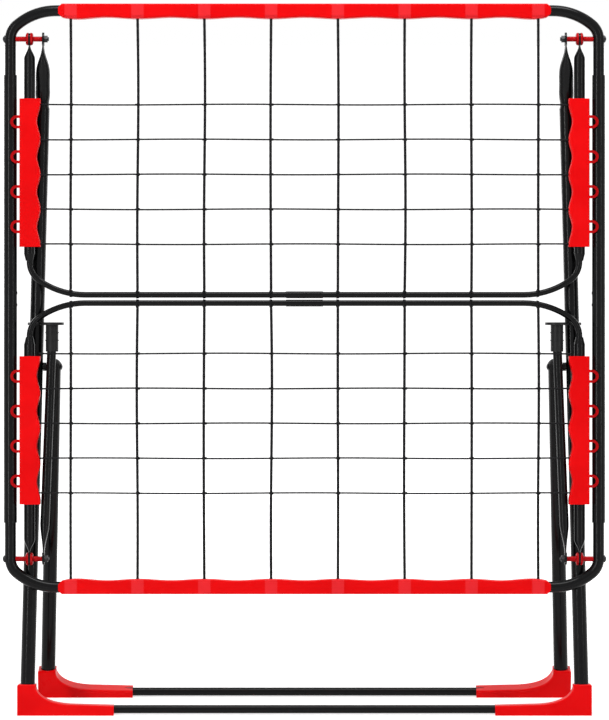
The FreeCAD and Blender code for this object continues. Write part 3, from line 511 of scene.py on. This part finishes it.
# studio
studio = {
    "floor": (0.8, 0.8, 0.8, 1), "floorPale": (0.84, 0.84, 0.84, 1), "grain": {"Scale": 3.0, "Detail": 3.0},
    "grainLevels": (0.3, 0.7, 0.0, 1.0), "reach": 40.0, "glow": 0.62, "fadeFrom": 0.7, "fadeTo": 2.4,
    "air": 0.2, "white": (1, 1, 1, 1),
}
lamps = [
    # name, place, aim, size, watts
    ("keyStrip", (-2.1, -3.0, 1.5), (0, 0, 0.7), (0.22, 2.6), 46.0),
    ("fillStrip", (2.6, -2.4, 1.4), (0, 0, 0.7), (0.18, 2.4), 19.0),
    ("topPanel", (0.2, -0.6, 3.2), (0, 0, 0.4), (2.0, 1.0), 56.0),
    ("rearStrip", (-1.6, 2.4, 1.4), (0, 0, 0.6), (0.5, 2.2), 24.0),
    ("rearFill", (2.0, 2.6, 1.2), (0, 0, 0.6), (0.5, 2.2), 16.0),
]
view = {"distance": 6.0, "aimAboveLowPivot": 0.3022, "pictureHeight": 1.0944}


def seenRays(tree):
    # 1 for what the camera sees, by itself, in a gloss or through glass, and 0 for light
    rays = addNode(tree, "ShaderNodeLightPath").outputs
    seen = calc(tree, "ADD", rays["Is Camera Ray"], rays["Is Glossy Ray"])
    return calc(tree, "ADD", seen, rays["Is Transmission Ray"], clamp=True)


def paleFloor():
    material = bpy.data.materials.new("paleFloor")
    material.use_nodes = True
    tree = material.node_tree
    tree.nodes.clear()
    place = objectPlace(tree)
    grain = remap(tree, noise(tree, place, **studio["grain"]), *studio["grainLevels"])
    tone = mixColour(tree, grain, studio["floor"], studio["floorPale"])
    cloth = addNode(tree, "ShaderNodeBsdfDiffuse", {"Color": tone}).outputs[0]
    away = addNode(tree, "ShaderNodeVectorMath", {0: place}, operation="LENGTH").outputs["Value"]
    fade = remap(tree, away, studio["fadeFrom"], studio["fadeTo"], studio["glow"], 1.0)
    glow = addNode(tree, "ShaderNodeEmission", {"Color": studio["white"], "Strength": fade}).outputs[0]
    bright = addNode(tree, "ShaderNodeAddShader", {0: cloth, 1: glow}).outputs[0]
    mixed = addNode(tree, "ShaderNodeMixShader", {0: seenRays(tree), 1: cloth, 2: bright}).outputs[0]
    addNode(tree, "ShaderNodeOutputMaterial", {"Surface": mixed})
    return material


def makeFloor():
    # a pale floor that fades into the white air behind it
    reach = studio["reach"]
    corners = [(-reach, -reach, 0), (reach, -reach, 0), (reach, reach, 0), (-reach, reach, 0)]
    mesh = bpy.data.meshes.new("floor")
    mesh.from_pydata(corners, [], [(0, 1, 2, 3)])
    mesh.materials.append(paleFloor())
    floor = bpy.data.objects.new("floor", mesh)
    bpy.context.collection.objects.link(floor)


def addLamp(name, place, aim, size, watts):
    light = bpy.data.lights.new(name, "AREA")
    light.shape = "RECTANGLE"
    light.size, light.size_y = size
    light.energy = watts
    lamp = bpy.data.objects.new(name, light)
    lamp.location = place
    lamp.rotation_euler = (Vector(aim) - Vector(place)).to_track_quat("-Z", "Y").to_euler()
    bpy.context.collection.objects.link(lamp)


def makeAir():
    # soft light from all round, seen as plain white
    world = bpy.data.worlds.new("studioAir")
    bpy.context.scene.world = world
    world.use_nodes = True
    tree = world.node_tree
    tree.nodes.clear()
    white = studio["white"]
    soft = addNode(tree, "ShaderNodeBackground", {"Color": white, "Strength": studio["air"]}).outputs[0]
    plain = addNode(tree, "ShaderNodeBackground", {"Color": white, "Strength": 1.0}).outputs[0]
    mixed = addNode(tree, "ShaderNodeMixShader", {0: seenRays(tree), 1: soft, 2: plain}).outputs[0]
    addNode(tree, "ShaderNodeOutputWorld", {"Surface": mixed})


def makeCamera():
    # square to the leaning ring, as the photograph is taken
    camera = bpy.data.cameras.new("pictureCamera")
    camera.lens = camera.sensor_width * view["distance"] / view["pictureHeight"]
    eye = bpy.data.objects.new("pictureCamera", camera)
    eye.location = onRing(lowPivot, 1, 0, 0, view["aimAboveLowPivot"]) - ringBack * view["distance"]
    eye.rotation_euler = ringBack.to_track_quat("-Z", "Y").to_euler()
    bpy.context.collection.objects.link(eye)
    bpy.context.scene.camera = eye


makeFloor()
for lamp in lamps:
    addLamp(*lamp)
makeAir()
makeCamera()
bpy.context.scene.view_settings.view_transform = "Standard"
print("studio ready")
